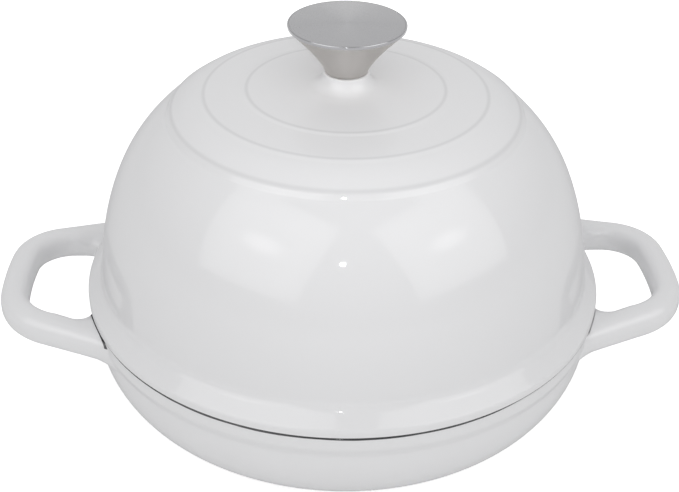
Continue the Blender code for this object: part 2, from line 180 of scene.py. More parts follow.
# %% Draw a loop handle in plan
HANDLE_REACH = 0.1697
BAR_WIDTH = 0.0134
ROOT_HALF_SPAN = 0.0490
ARM_SPLAY = math.radians(20.4)
HOLE_SPLAY = math.radians(5.9)
GRIP_BOW = 0.1880
GRIP_CORNER = 0.0256
OUTER_FILLET = 0.0190
INNER_FILLET = 0.0085
ROOT_SINK = 0.0025
FILLET_STEPS = 10
ARM_STEPS = 6
CORNER_STEPS = 16
BOW_STEPS = 14


def go_to_reach(x, y, along, reach):
    """Goes from (x, y) along a direction to where the point is reach away from the middle."""
    half = x * along[0] + y * along[1]
    step = -half + math.sqrt(half ** 2 - x ** 2 - y ** 2 + reach ** 2)
    return x + along[0] * step, y + along[1] * step


def plan_arc(x, y, size, start, end, steps):
    """Points on an arc in plan, between two angles in radians."""
    turns = [start + (end - start) * i / steps for i in range(steps + 1)]
    return [(x + size * math.cos(t), y + size * math.sin(t)) for t in turns]


# %% [markdown]
# Both edges turn about one middle at the loop's corner, so the bar keeps its width there. The
# hole's edge is less splayed than the outer edge, so each arm grows wider towards the wall. A fillet
# is the arc that touches both the wall's circle and the arm's straight edge.

# %% Work out both edges of the loop
def corner_middle(bow_x):
    """The middle of the arcs at the loop's corner, which both edges share."""
    root_x = math.sqrt(BAND_RADIUS ** 2 - ROOT_HALF_SPAN ** 2)
    x = root_x - math.sin(ARM_SPLAY) * GRIP_CORNER - bow_x
    y = ROOT_HALF_SPAN - math.cos(ARM_SPLAY) * GRIP_CORNER
    x, y = go_to_reach(x, y, (math.cos(ARM_SPLAY), -math.sin(ARM_SPLAY)), GRIP_BOW - GRIP_CORNER)
    return x + bow_x, y


def loop_edge(side, splay, fillet, wall):
    """An edge of the loop from wall to wall: side 1 is the outer edge, side -1 the finger hole's."""
    offset = side * BAR_WIDTH / 2
    corner, bow = GRIP_CORNER + offset, GRIP_BOW + offset
    bow_x = HANDLE_REACH - BAR_WIDTH / 2 - GRIP_BOW
    corner_x, corner_y = corner_middle(bow_x)
    along, outward = (math.cos(splay), -math.sin(splay)), (math.sin(splay), math.cos(splay))

    reach = corner + side * fillet
    fillet_x, fillet_y = corner_x + outward[0] * reach, corner_y + outward[1] * reach
    fillet_x, fillet_y = go_to_reach(fillet_x, fillet_y, along, wall + fillet)
    wall_turn = math.atan2(-fillet_y, -fillet_x)
    arm_turn = math.atan2(-outward[1] * side, -outward[0] * side)
    turn = (arm_turn - wall_turn + math.pi) % (2 * math.pi) - math.pi
    edge = plan_arc(fillet_x, fillet_y, fillet, wall_turn, wall_turn + turn, FILLET_STEPS)

    corner_end = math.atan2(corner_y, corner_x - bow_x)
    bend = plan_arc(corner_x, corner_y, corner, math.pi / 2 - splay, corner_end, CORNER_STEPS)
    grip = plan_arc(bow_x, 0.0, bow, corner_end, 0.0, BOW_STEPS // 2)[1:]
    run = (bend[0][0] - edge[-1][0], bend[0][1] - edge[-1][1])
    shares = [i / ARM_STEPS for i in range(1, ARM_STEPS)]
    arm = [(edge[-1][0] + run[0] * share, edge[-1][1] + run[1] * share) for share in shares]
    sunk = (PAN_WALL_RADIUS - ROOT_SINK) / wall
    half = [(edge[0][0] * sunk, edge[0][1] * sunk)] + edge + arm + bend + grip
    return half + [(x, -y) for x, y in half[-2::-1]]


outer_edge = loop_edge(1, ARM_SPLAY, OUTER_FILLET, PAN_WALL_RADIUS)
hole_edge = loop_edge(-1, HOLE_SPLAY, INNER_FILLET, BAND_RADIUS)
print(f"loop drawn through {len(outer_edge)} stations")

# %% [markdown]
# At each pair of points the bar gets a section: a square with rounded corners, stretched to the
# bar's width there, turned upright and moved into place. Bridging the sections makes the skin, and
# filling both ends closes it. Near the wall the bar hangs lower, which makes the fillet under it.

# %% Loft the loop through its stations
BAR_THICKNESS = 0.0149
BAR_ROUNDING = 0.80
BAR_ROUNDING_SEGMENTS = 6
HANDLE_ABOVE_RIM = 0.0018
HANDLE_RISE = math.radians(5.7)
UNDER_FILLET = 0.0032


def bar_top(x):
    """Height of the loop's top, which rises gently away from the pan."""
    return PAN_TOP + HANDLE_ABOVE_RIM + math.tan(HANDLE_RISE) * (x - RIM_RADIUS)


def add_section(outer, hole, hang):
    """One section of the bar: a square with its corners rounded, scaled, turned and put in place."""
    bpy.ops.mesh.primitive_plane_add(size=2)
    bpy.ops.mesh.bevel(affect="VERTICES", offset=BAR_ROUNDING, segments=BAR_ROUNDING_SEGMENTS, profile=0.5)
    width = math.hypot(outer[0] - hole[0], outer[1] - hole[1])
    turn = math.atan2(outer[1] - hole[1], outer[0] - hole[0])
    middle = [(outer[i] + hole[i]) / 2 for i in (0, 1)]
    height = bar_top(middle[0]) - BAR_THICKNESS / 2 - hang / 2
    bpy.ops.transform.rotate(value=-math.pi / 2, orient_axis="X", center_override=(0, 0, 0))
    size = (width / 2, 1.0, (BAR_THICKNESS + hang) / 2)
    bpy.ops.transform.resize(value=size, center_override=(0, 0, 0))
    bpy.ops.transform.rotate(value=-turn, orient_axis="Z", center_override=(0, 0, 0))
    bpy.ops.transform.translate(value=(*middle, height))


def add_bar(name):
    """The right-hand loop as a closed bar whose ends are sunk in the wall."""
    bar = draw_line(name, [(0, 0, 0)])
    bpy.ops.mesh.delete(type="VERT")
    last = len(outer_edge) - 1
    for i, (outer, hole) in enumerate(zip(outer_edge, hole_edge)):
        from_wall = min(i, last - i)
        hang = UNDER_FILLET * (1 - ease((from_wall - 1) / (FILLET_STEPS + 2)))
        add_section(outer, hole, hang)
    bpy.ops.mesh.select_all(action="SELECT")
    bpy.ops.mesh.delete(type="ONLY_FACE")
    bpy.ops.mesh.select_all(action="SELECT")
    bpy.ops.mesh.bridge_edge_loops()
    bpy.ops.mesh.select_all(action="SELECT")
    bpy.ops.mesh.fill_holes(sides=0)
    return finish_mesh(bar)


right_handle = add_bar("right_handle")

# %% [markdown]
# The bar's top lies a little higher than the pan's rim, so a round cutter, whose radius is 0.3 mm
# larger than the lid's, takes away what would stand in the lid's way. The finished loop is copied
# with a mesh of its own, and the copy is turned by half a turn for the left side.

# %% Cut the lid's seat and copy the loop
HANDLE_BELOW_RIM = 0.0004
LID_SLOT = 0.0003
SLOT_TOP = 0.0200


def combine(piece, tool, operation):
    """Joins a closed mesh to the piece, or cuts it out, with a Boolean modifier and removes it."""
    change = piece.modifiers.new(tool.name, "BOOLEAN")
    change.operation, change.solver, change.object = operation, "EXACT", tool
    bpy.context.view_layer.objects.active = piece
    bpy.ops.object.modifier_apply(modifier=change.name)
    bpy.data.objects.remove(tool)


slot_low = PAN_TOP - HANDLE_BELOW_RIM
slot_high = PAN_TOP + SLOT_TOP
slot_radius = RIM_RADIUS + LID_SLOT
slot_section = [(0.0, slot_low), (slot_radius, slot_low), (slot_radius, slot_high), (0.0, slot_high)]
combine(right_handle, spin_piece("lid_slot", slot_section), "DIFFERENCE")
left_handle = right_handle.copy()
left_handle.data = right_handle.data.copy()
left_handle.name = left_handle.data.name = "left_handle"
bpy.context.scene.collection.objects.link(left_handle)
bpy.ops.object.select_all(action="DESELECT")
left_handle.select_set(True)
bpy.context.view_layer.objects.active = left_handle
bpy.ops.object.mode_set(mode="EDIT")
bpy.ops.mesh.select_all(action="SELECT")
bpy.ops.transform.rotate(value=math.pi, orient_axis="Z", center_override=(0, 0, 0))
bpy.ops.object.mode_set(mode="OBJECT")
handle_end = right_handle.bound_box[6]
print(f"handle reaches {handle_end[0] * 1000:.1f} mm out and {handle_end[2] * 1000:.1f} mm up")

# %% [markdown]
# A casting has no joint between wall and handle, so the three closed meshes become one with a
# Boolean union. The bars reach a little into the wall, which gives the Boolean a clean crossing.

# %% Join the handles to the pan
for handle in (right_handle, left_handle):
    combine(pan, handle, "UNION")
bpy.ops.object.select_all(action="DESELECT")
pan.select_set(True)
bpy.ops.object.shade_smooth_by_angle(angle=SMOOTH_ANGLE)
print(f"pan with handles: {len(pan.data.polygons)} faces")

# %% [markdown]
# The lid is the second casting. From its flat seat the section goes up a thin rounded edge, over a
# sloping flange and through a hollow cove to the dome. The cove is an arc that touches both the
# flange's slope and the dome's side, because a sharp inner corner would print as a dark line.

# %% Draw the lid's flange
EDGE_HEIGHT = 0.0032
EDGE_ROUNDING = 0.0022
SEAT_ROUNDING = 0.0008
FLANGE_WIDTH = 0.0081
FLANGE_SLOPE = 50
COVE_RADIUS = 0.0070
DOME_DRAFT = 1.75
DOME_FOOT = RIM_RADIUS - FLANGE_WIDTH
SEAT_STEPS = 5
EDGE_STEPS = 10
COVE_STEPS = 14


def cos(degrees):
    """Cosine of an angle in degrees."""
    return math.cos(math.radians(degrees))


def sin(degrees):
    """Sine of an angle in degrees."""
    return math.sin(math.radians(degrees))


def flange_section():
    """The lid's rim from its seat outward and up, to where the dome starts."""
    edge_r = RIM_RADIUS - EDGE_ROUNDING
    slope_r = edge_r + EDGE_ROUNDING * cos(FLANGE_SLOPE)
    slope_z = SEAT + EDGE_HEIGHT + EDGE_ROUNDING * sin(FLANGE_SLOPE)
    cove_run = COVE_RADIUS * (cos(DOME_DRAFT) - cos(FLANGE_SLOPE))
    length = (slope_r - cove_run - DOME_FOOT) / sin(FLANGE_SLOPE)
    cove_r = DOME_FOOT + COVE_RADIUS * cos(DOME_DRAFT)
    cove_z = slope_z + length * cos(FLANGE_SLOPE) + COVE_RADIUS * sin(FLANGE_SLOPE)
    line = arc(RIM_RADIUS - SEAT_ROUNDING, SEAT + SEAT_ROUNDING, SEAT_ROUNDING, -90, 0, SEAT_STEPS)
    line += arc(edge_r, SEAT + EDGE_HEIGHT, EDGE_ROUNDING, 0, FLANGE_SLOPE, EDGE_STEPS)
    return line + arc(cove_r, cove_z, COVE_RADIUS, 180 + FLANGE_SLOPE, 180 + DOME_DRAFT, COVE_STEPS)


print(f"dome starts {flange_section()[-1][1] * 1000:.1f} mm up")

# %% [markdown]
# The dome is four arcs that meet smoothly: the side, the bend, the tight shoulder and the nearly
# flat crown. Each of the first three is a radius in metres and the angle in degrees at which it
# ends. The crown's radius follows, because its middle has to lie on the axis.

# %% Describe the dome
LID_WALL = 0.0040
DOME_SIDE = (0.1226, 23.8)
DOME_BEND = (0.0832, 57.0)
DOME_SHOULDER = (0.0273, 84.4)
ARC_SLACK = 1e-9


def dome_arcs():
    """The dome's arcs from its foot to the crown, as (middle r, middle z, radius, start, end)."""
    arcs, start = [], DOME_DRAFT
    edge_r, edge_z = flange_section()[-1]
    for radius, end in (DOME_SIDE, DOME_BEND, DOME_SHOULDER):
        middle_r, middle_z = edge_r - radius * cos(start), edge_z - radius * sin(start)
        arcs.append((middle_r, middle_z, radius, start, end))
        edge_r, edge_z = middle_r + radius * cos(end), middle_z + radius * sin(end)
        start = end
    crown = edge_r / cos(start)
    return arcs + [(0.0, edge_z - crown * sin(start), crown, start, 90.0)]


DOME_ARCS = dome_arcs()


def dome_height(r, wall=0.0):
    """Height of the plain dome at a radius; a wall's thickness gives its inside instead."""
    for middle_r, middle_z, radius, _, end in DOME_ARCS:
        if r >= middle_r + (radius - wall) * cos(end) - ARC_SLACK:
            return middle_z + math.sqrt(max((radius - wall) ** 2 - (r - middle_r) ** 2, 0.0))
    return None


print(f"crown at {dome_height(0.0) * 1000:.1f} mm")

# %% [markdown]
# Three shallow steps go round the crown, and are added to the dome's height. Each is a smooth rise,
# because a sharp step would print as a hard line where the real enamel has flowed round. The outer
# step is the highest, and just steep enough to catch a glint. The inner two are lower and softer.

# %% Describe the rings
RING_RADII = (0.0809, 0.0655, 0.0456)
RING_OUT = 0.0024
RING_STEPS = (0.0012, 0.0003, 0.0003)
RING_BLENDS = (0.0019, 0.0030, 0.0030)
RINGS = [(radius + RING_OUT, step, width)
         for radius, step, width in zip(RING_RADII, RING_STEPS, RING_BLENDS)]


def ring_lift(r):
    """How far the stepped rings raise the dome at a radius."""
    return sum(step * ease((middle - r) / width + 0.5) for middle, step, width in RINGS)


print(f"the rings raise the crown by {ring_lift(0.0) * 1000:.1f} mm")

# %% [markdown]
# The section's points lie close together where the surface turns quickly and far apart where it
# runs plain. On the rings they are about a fifth of a millimetre apart. A low round boss rises
# under the knob, and the screw's hole goes through it. Inside, a flat pad carries the washers, and
# a short lip under the seat keeps the lid in the pan's mouth.

# %% Spin the lid
LIP_CLEARANCE = 0.0010
LIP_WIDTH = 0.0034
LIP_RADIUS = MOUTH_RADIUS - LIP_CLEARANCE
BOSS_RADIUS = 0.0109
BOSS_FLARE = 0.0065
BOSS_HEIGHT = 0.0063
BOSS_ROUNDING = 0.0006
BORE_RADIUS = 0.0034
PAD_RADIUS = 0.0110
PAD_DROP = 0.0008
BOSS_TOP = knob_low.z - TOUCH_GAP
PAD_LEVEL = dome_height(0.0, LID_WALL) - PAD_DROP
OUTSIDE_STEPS = (24, 24, 16, 20)
INSIDE_STEPS = (16, 16, 10, 8)
RING_POINTS = 12
RING_CLEARING = 0.6
FLARE_POINTS = 12
BOSS_ROUNDING_STEPS = 4


def dome_radii(wall, steps, least):
    """Radii of the points along the dome, from its foot in to the least."""
    radii = []
    for (middle_r, _, radius, start, end), count in zip(DOME_ARCS, steps):
        radii += [r for r, _ in arc(middle_r, 0.0, radius - wall, start, end, count)[:-1]]
    return [r for r in radii if r > least]


def lid_section():
    """The lid's closed half section: seat, flange, dome, boss, screw hole, inside and lip."""
    radii = dome_radii(0.0, OUTSIDE_STEPS, BOSS_RADIUS + BOSS_FLARE)[1:]
    for middle, _, width in RINGS:
        radii = [r for r in radii if abs(r - middle) > width * RING_CLEARING]
        radii += [middle + width * (i / RING_POINTS - 0.5) for i in range(RING_POINTS + 1)]
    line = [(LIP_RADIUS, SEAT)] + flange_section()
    line += [(r, dome_height(r) + ring_lift(r)) for r in sorted(radii, reverse=True)]
    for i in range(FLARE_POINTS):
        t = math.pi / 2 * (1 - i / FLARE_POINTS)
        line.append((BOSS_RADIUS + BOSS_FLARE * (1 - math.cos(t)), BOSS_TOP - BOSS_HEIGHT * math.sin(t)))
    edge_r, edge_z = BOSS_RADIUS - BOSS_ROUNDING, BOSS_TOP - BOSS_ROUNDING
    line += arc(edge_r, edge_z, BOSS_ROUNDING, 0, 90, BOSS_ROUNDING_STEPS)
    line += [(BORE_RADIUS, BOSS_TOP), (BORE_RADIUS, PAD_LEVEL), (PAD_RADIUS, PAD_LEVEL)]
    inside = sorted(dome_radii(LID_WALL, INSIDE_STEPS, PAD_RADIUS))
    line += [(r, dome_height(r, LID_WALL)) for r in inside]
    line += [(LIP_RADIUS - LIP_WIDTH, SEAT - LIP_DEPTH), (LIP_RADIUS, SEAT - LIP_DEPTH)]
    return line + [line[0]]


lid = spin_piece("lid", lid_section())

# %% [markdown]
# The knob is a flared shell of stainless steel with a polished rim, closed by a flat disc that is
# brushed in circles. The flare is a power curve: steep at the foot and wide under the rim. A cone
# would be simpler, but the real stem curves outwards.

# %% Spin the knob's shell and its disc
KNOB_RADIUS = knob_high.x
KNOB_FOOT = 0.0098
KNOB_RIM = 0.0016
KNOB_RIM_ROUNDING = 0.0007
KNOB_FLARE = 1.30
KNOB_SHELL = 0.0013
DISC_INSET = 0.0008
DISC_GAP = 0.00005
DISC_LEDGE = 0.0016
DISC_ROUNDING = 0.0001
FLARE_STEPS = 24
KNOB_RIM_STEPS = 8
DISC_STEPS = 3
KNOB_SPIN_STEPS = 160


def knob_section():
    """The shell's closed half section: stem, rim, ledge for the disc, and hollow neck."""
    stem = knob_high.z - knob_low.z - KNOB_RIM
    edge = KNOB_RADIUS - DISC_INSET
    ledge = disc_low.z - TOUCH_GAP
    shares = [i / FLARE_STEPS for i in range(FLARE_STEPS + 1)]
    width = KNOB_RADIUS - KNOB_FOOT
    flare = [(KNOB_FOOT + width * share ** KNOB_FLARE, knob_low.z + stem * share) for share in shares]
    rim_r, rim_z = KNOB_RADIUS - KNOB_RIM_ROUNDING, knob_high.z - KNOB_RIM_ROUNDING
    line = flare + arc(rim_r, rim_z, KNOB_RIM_ROUNDING, 0, 90, KNOB_RIM_STEPS)
    line += [(edge, knob_high.z), (edge, ledge), (edge - DISC_LEDGE, ledge)]
    line += [(r - KNOB_SHELL, z) for r, z in flare[-2::-1]]
    return line + [line[0]]


def disc_section():
    """The disc's half section, which fills the shell's ledge to a hair's breadth."""
    radius = KNOB_RADIUS - DISC_INSET - DISC_GAP
    line = [(0.0, disc_low.z), (radius, disc_low.z)]
    line += arc(radius - DISC_ROUNDING, disc_high.z - DISC_ROUNDING, DISC_ROUNDING, 0, 90, DISC_STEPS)
    return line + [(0.0, disc_high.z)]


knob = spin_piece("knob", knob_section(), KNOB_SPIN_STEPS)
disc = spin_piece("knob_disc", disc_section(), KNOB_SPIN_STEPS)

# %% [markdown]
# Every finish is built from nodes. They could be placed by hand in the shader editor, but a few
# short helpers make each node a line or two. One adds any node, sets its inputs by number, so that
# in_2 is input 2, and links outputs into it. The two kinds used most, Math and Map Range, have
# helpers of their own.

# %% Helpers for nodes
def new_group(name, inputs, outputs):
    """An empty shader node group with float sockets, and its two end nodes."""
    tree = bpy.data.node_groups.new(name, "ShaderNodeTree")
    for label, default in inputs:
        socket = tree.interface.new_socket(label, in_out="INPUT", socket_type="NodeSocketFloat")
        socket.default_value = default
    for label in outputs:
        tree.interface.new_socket(label, in_out="OUTPUT", socket_type="NodeSocketFloat")
    return tree, tree.nodes.new("NodeGroupInput"), tree.nodes.new("NodeGroupOutput")


def add_node(tree, kind, links=(), **settings):
    """Adds a node, sets its properties and its inputs' values, and links outputs into it."""
    node = tree.nodes.new(kind)
    for name, value in settings.items():
        if name.startswith("in_"):
            node.inputs[int(name[3:])].default_value = value
        else:
            setattr(node, name, value)
    for source, index in links:
        tree.links.new(source, node.inputs[index])
    return node


def add_math(tree, operation, *values):
    """Adds a Math node and gives its output. Each value is another node's output or a number."""
    node = add_node(tree, "ShaderNodeMath", operation=operation)
    for socket, value in zip(node.inputs, values):
        if isinstance(value, bpy.types.NodeSocket):
            tree.links.new(value, socket)
        else:
            socket.default_value = value
    return node.outputs[0]


def add_range(tree, value, before, after=(0.0, 1.0), blend="LINEAR"):
    """Adds a Map Range node, which takes a value from one range to another, and gives its output."""
    node = add_node(tree, "ShaderNodeMapRange", [(value, 0)], interpolation_type=blend,
                    in_1=before[0], in_2=before[1], in_3=after[0], in_4=after[1])
    return node.outputs[0]


# %% [markdown]
# Two effects serve several finishes, so each is a node group with named sockets: a slow ripple,
# which fired enamel always has, and fine circular brushing. Both are noise. For the brushing the
# noise is stretched: it changes quickly with the distance from the axis and slowly round it.

# %% Ripple and brushing
def make_ripple():
    """A height for enamel: slow waves from the firing and a finer orange peel."""
    sizes = (("Wave Size", 40.0), ("Peel Size", 300.0), ("Peel", 0.15))
    tree, start, end = new_group("enamel_ripple", sizes, ("Height",))
    place = add_node(tree, "ShaderNodeTexCoord").outputs["Object"]
    wave_size, peel_size, peel_share = [start.outputs[label] for label, _ in sizes]
    waves = add_node(tree, "ShaderNodeTexNoise", [(place, 0), (wave_size, 2)], in_3=2.0)
    peel = add_node(tree, "ShaderNodeTexNoise", [(place, 0), (peel_size, 2)], in_3=1.0)
    fine = add_math(tree, "MULTIPLY", peel.outputs[0], peel_share)
    tree.links.new(add_math(tree, "ADD", waves.outputs[0], fine), end.inputs[0])
    return tree


def add_reach(tree, place):
    """The distance from the Z axis, the flat direction to the place, and the three coordinates."""
    parts = add_node(tree, "ShaderNodeSeparateXYZ", [(place, 0)]).outputs
    flat = add_node(tree, "ShaderNodeCombineXYZ", [(parts[0], 0), (parts[1], 1)])
    reach = add_node(tree, "ShaderNodeVectorMath", [(flat.outputs[0], 0)], operation="LENGTH")
    return reach.outputs["Value"], flat.outputs[0], tuple(parts)


def make_brushing():
    """Fine rings round the Z axis: a value that changes quickly outwards and slowly round the axis."""
    tree, start, end = new_group("circular_brushing", (("Lines", 2500.0), ("Length", 6.0)), ("Value",))
    fineness, length = start.outputs["Lines"], start.outputs["Length"]
    place = add_node(tree, "ShaderNodeTexCoord").outputs["Object"]
    reach, _, (x, y, z) = add_reach(tree, place)
    turn = add_math(tree, "ARCTAN2", y, x)
    across = add_math(tree, "MULTIPLY", add_math(tree, "ADD", reach, z), fineness)
    along = add_math(tree, "MULTIPLY", add_math(tree, "COSINE", turn), length)
    aside = add_math(tree, "MULTIPLY", add_math(tree, "SINE", turn), length)
    spot = add_node(tree, "ShaderNodeCombineXYZ", [(across, 0), (along, 1), (aside, 2)])
    lines = add_node(tree, "ShaderNodeTexNoise", [(spot.outputs[0], 0)], in_2=1.0, in_3=2.0)
    tree.links.new(lines.outputs[0], end.inputs[0])
    return tree


ripple = make_ripple()
brushing = make_brushing()
print("groups:", ripple.name, brushing.name)

# %% [markdown]
# A faint grey line follows each ring, along the top of its rise. It is painted shade: the enamel's colour is
# darkened where the step's shading falls. The line could be painted on an image, but a mask of the distance
# from the axis stays sharp at any size and follows the rings when they move.

# %% Mask for the painted shade along the rings
RING_LINE = 0.0015
RING_LINE_OUT = 0.0006


def make_painted_ring_shade():
    """A mask of painted shade: 1 along each ring and falling to 0 beside it."""
    tree, start, end = new_group("painted_ring_shade", (("Width", RING_LINE),), ("Mask",))
    place = add_node(tree, "ShaderNodeTexCoord").outputs["Object"]
    reach = add_reach(tree, place)[0]
    total = 0.0
    for ring in RING_RADII:
        away = add_math(tree, "ABSOLUTE", add_math(tree, "SUBTRACT", reach, ring + RING_LINE_OUT))
        line = add_node(tree, "ShaderNodeMapRange", [(away, 0), (start.outputs["Width"], 2)],
                        interpolation_type="SMOOTHSTEP", in_3=1.0, in_4=0.0).outputs[0]
        total = add_math(tree, "MAXIMUM", total, line)
    tree.links.new(total, end.inputs[0])
    return tree


painted_ring_shade = make_painted_ring_shade()
print("mask:", painted_ring_shade.name)

# %% [markdown]
# A dark line runs round the pan's rim under the lid. It is partly real: the white enamel stops short
# of the rim, and the black ground coat shows. It is partly painted shadow of the seam between lid
# and pan. It is deepest at the front left, wanders a little, and fades out at the right. The mask takes
# the height and the bearing. Where an arm meets the pan, the line crosses the arm's top at the lid's
# edge and runs three millimetres down its fillets.

# %% Mask for the rim's ground coat and painted seam shadow
BARE_RIM = 0.0008
BARE_BEARING = math.radians(-50)
BARE_SIDE = (-0.3, 0.45)
BARE_EDGE = 0.00008
WANDER_SIZE = 60.0
WANDER_SHARE = (0.7, 1.3)
ROOT_LINE = 0.0004
ROOT_LINE_DEPTH = 0.0030


def make_rim_coat_and_seam_shadow():
    """A mask of the dark edge under the lid, ground coat and painted seam shadow, deepest towards one
    bearing.
    """
    tree, start, end = new_group("rim_coat_and_seam_shadow", (("Depth", BARE_RIM),), ("Mask",))
    place = add_node(tree, "ShaderNodeTexCoord").outputs["Object"]
    reach, flat, (_, _, height) = add_reach(tree, place)
    side = add_node(tree, "ShaderNodeVectorMath", [(flat, 0)], operation="DOT_PRODUCT")
    side.inputs[1].default_value = (math.sin(BARE_BEARING), -math.cos(BARE_BEARING), 0.0)
    bearing = add_math(tree, "DIVIDE", side.outputs["Value"], reach)
    share = add_range(tree, bearing, BARE_SIDE, blend="SMOOTHSTEP")
    uneven = add_node(tree, "ShaderNodeTexNoise", [(place, 0)], in_2=WANDER_SIZE).outputs[0]
    wander = add_range(tree, uneven, (0.0, 1.0), WANDER_SHARE)
    depth = add_math(tree, "MULTIPLY", add_math(tree, "MULTIPLY", share, wander), start.outputs["Depth"])
    rim = add_range(tree, add_math(tree, "ADD", height, depth), (PAN_TOP, PAN_TOP + BARE_EDGE))
    near_lid = add_range(tree, reach, (RIM_RADIUS, RIM_RADIUS + BARE_EDGE), (1.0, 0.0))
    edge = add_math(tree, "MULTIPLY", rim, near_lid)

    past_lid = add_math(tree, "MULTIPLY_ADD", share, -ROOT_LINE, reach)
    under_lid = add_range(tree, past_lid, (RIM_RADIUS, RIM_RADIUS + BARE_EDGE), (1.0, 0.0))
    low = PAN_TOP - ROOT_LINE_DEPTH
    high = add_range(tree, height, (low, low + BARE_EDGE))
    off_wall = add_range(tree, reach, (BAND_RADIUS + BARE_EDGE, BAND_RADIUS + 2 * BARE_EDGE))
    strip = add_math(tree, "MULTIPLY", add_math(tree, "MULTIPLY", under_lid, high), off_wall)
    root = add_math(tree, "MULTIPLY", strip, share)
    tree.links.new(add_math(tree, "MAXIMUM", edge, root), end.inputs[0])
    return tree


rim_coat_and_seam_shadow = make_rim_coat_and_seam_shadow()
print("mask:", rim_coat_and_seam_shadow.name)

# %% [markdown]
# Each finish is a material with one Principled shader, made by a short helper. A second helper
# places a node group in it, and a third turns a height into a bump, which only tilts the surface's
# shading. That is enough for ripples and grain; every shape that shows in the outline is modelled.

# %% Helpers for materials
def new_material(name, color, roughness, metallic):
    """A Principled material, its tree and its shader node."""
    result = bpy.data.materials.new(name)
    result.use_nodes = True
    shader = result.node_tree.nodes["Principled BSDF"]
    shader.inputs["Base Color"].default_value = (*color, 1.0)
    shader.inputs["Roughness"].default_value = roughness
    shader.inputs["Metallic"].default_value = metallic
    return result, result.node_tree, shader


def use_group(tree, group, **values):
    """Places a node group in a material with its own values."""
    node = tree.nodes.new("ShaderNodeGroup")
    node.node_tree = group
    for name, value in values.items():
        node.inputs[name.replace("_", " ")].default_value = value
    return node


def add_bump(tree, shader, height, strength, distance):
    """Feeds a height into the shader's normal."""
    bump = add_node(tree, "ShaderNodeBump", [(height, 2)], in_0=strength, in_1=distance)
    tree.links.new(bump.outputs[0], shader.inputs["Normal"])


# %% [markdown]
# The white enamel is glass fired on iron: a soft diffuse white under a coat that gives the sharp
# reflections. The coat could be even, but then the pot's outline, seen at a glancing angle, would
# mirror the white studio and vanish in it. So the coat fades towards the outline.

# %% Enamels
COAT = (0.9, 0.0)
COAT_FACING = (0.25, 0.75)
COAT_BLEND = 0.35
COAT_ROUGHNESS = 0.05
RIPPLE_STRENGTH = 0.05
RIPPLE_DEPTH = 0.0006


def make_enamel(name, color, roughness):
    """Glossy enamel: a soft body under a thin sharp coat that fades towards the outline."""
    result, tree, shader = new_material(name, color, roughness, 0.0)
    shader.inputs["Specular IOR Level"].default_value = 0.0
    shader.inputs["Coat Roughness"].default_value = COAT_ROUGHNESS
    facing = add_node(tree, "ShaderNodeLayerWeight", in_0=COAT_BLEND).outputs["Facing"]
    coat = add_range(tree, facing, COAT_FACING, COAT)
    tree.links.new(coat, shader.inputs["Coat Weight"])
    height = use_group(tree, ripple).outputs[0]
    add_bump(tree, shader, height, RIPPLE_STRENGTH, RIPPLE_DEPTH)
    return result


def tint(finish, mask, color, share):
    """Mixes a second colour into a finish where a mask group says so."""
    tree = finish.node_tree
    shader = tree.nodes["Principled BSDF"]
    plain = tuple(shader.inputs["Base Color"].default_value)
    amount = add_math(tree, "MULTIPLY", use_group(tree, mask).outputs[0], share)
    blend = add_node(tree, "ShaderNodeMix", [(amount, 0)], data_type="RGBA", in_6=plain, in_7=(*color, 1.0))
    tree.links.new(blend.outputs[2], shader.inputs["Base Color"])


WHITE = (0.74, 0.74, 0.75)
WHITE_ROUGHNESS = 0.40
# The grey of the painted shade along the rings.
RING_SHADE_GREY = (0.52, 0.52, 0.53)
# The dark of the rim line: black ground coat, and partly painted shadow of the seam.
GROUND_COAT_AND_SEAM_SHADOW = (0.050, 0.050, 0.054)
white_enamel = make_enamel("white_enamel", WHITE, WHITE_ROUGHNESS)
lid_enamel = make_enamel("lid_enamel", WHITE, WHITE_ROUGHNESS)
# Painted shade: a grey line along each ring's step.
tint(lid_enamel, painted_ring_shade, RING_SHADE_GREY, share=0.38)
rim_enamel = make_enamel("rim_enamel", WHITE, WHITE_ROUGHNESS)
# The black ground coat and the painted shadow of the seam under the lid.
tint(rim_enamel, rim_coat_and_seam_shadow, GROUND_COAT_AND_SEAM_SHADOW, share=1.0)
black_enamel = make_enamel("black_enamel", color=(0.022, 0.022, 0.024), roughness=0.42)
print("enamels:", white_enamel.name, lid_enamel.name, rim_enamel.name, black_enamel.name)

# %% [markdown]
# All the steel is turned and brushed in circles. Fine scratches stretch a highlight across them, so
# the shader is anisotropic, with its tangent round the axis. The knob's stem is brushed so finely
# that no line shows, its rim is polished, and its disc shows the brushing.

# %% Steels
GRAIN_VALUES = (0.3, 0.7)
GRAIN_SMOOTHER = 0.4
GRAIN_ROUGHER = 0.5
GRAIN_DEPTH = 0.00003


def make_steel(name, color, roughness, lines, anisotropy, grain=0.08):
    """Stainless steel brushed in circles about the Z axis."""
    result, tree, shader = new_material(name, color, roughness, 1.0)
    shader.inputs["Anisotropic"].default_value = anisotropy
    value = use_group(tree, brushing, Lines=lines).outputs[0]
    limits = (roughness - GRAIN_SMOOTHER * grain, roughness + GRAIN_ROUGHER * grain)
    tree.links.new(add_range(tree, value, GRAIN_VALUES, limits), shader.inputs["Roughness"])
    tangent = add_node(tree, "ShaderNodeTangent", direction_type="RADIAL", axis="Z")
    tree.links.new(tangent.outputs[0], shader.inputs["Tangent"])
    add_bump(tree, shader, value, grain, GRAIN_DEPTH)
    return result


satin_steel = make_steel("satin_steel", color=(0.60, 0.58, 0.56), roughness=0.42, lines=2500.0,
                         anisotropy=0.97, grain=0.02)
# The disc's grey, darker than the stem's, is painted shade in its reflection. It stands in for the dimmer
# room above that the disc mirrors.
disc_steel = make_steel("disc_steel", color=(0.39, 0.39, 0.40), roughness=0.30, lines=3000.0, anisotropy=0.8)
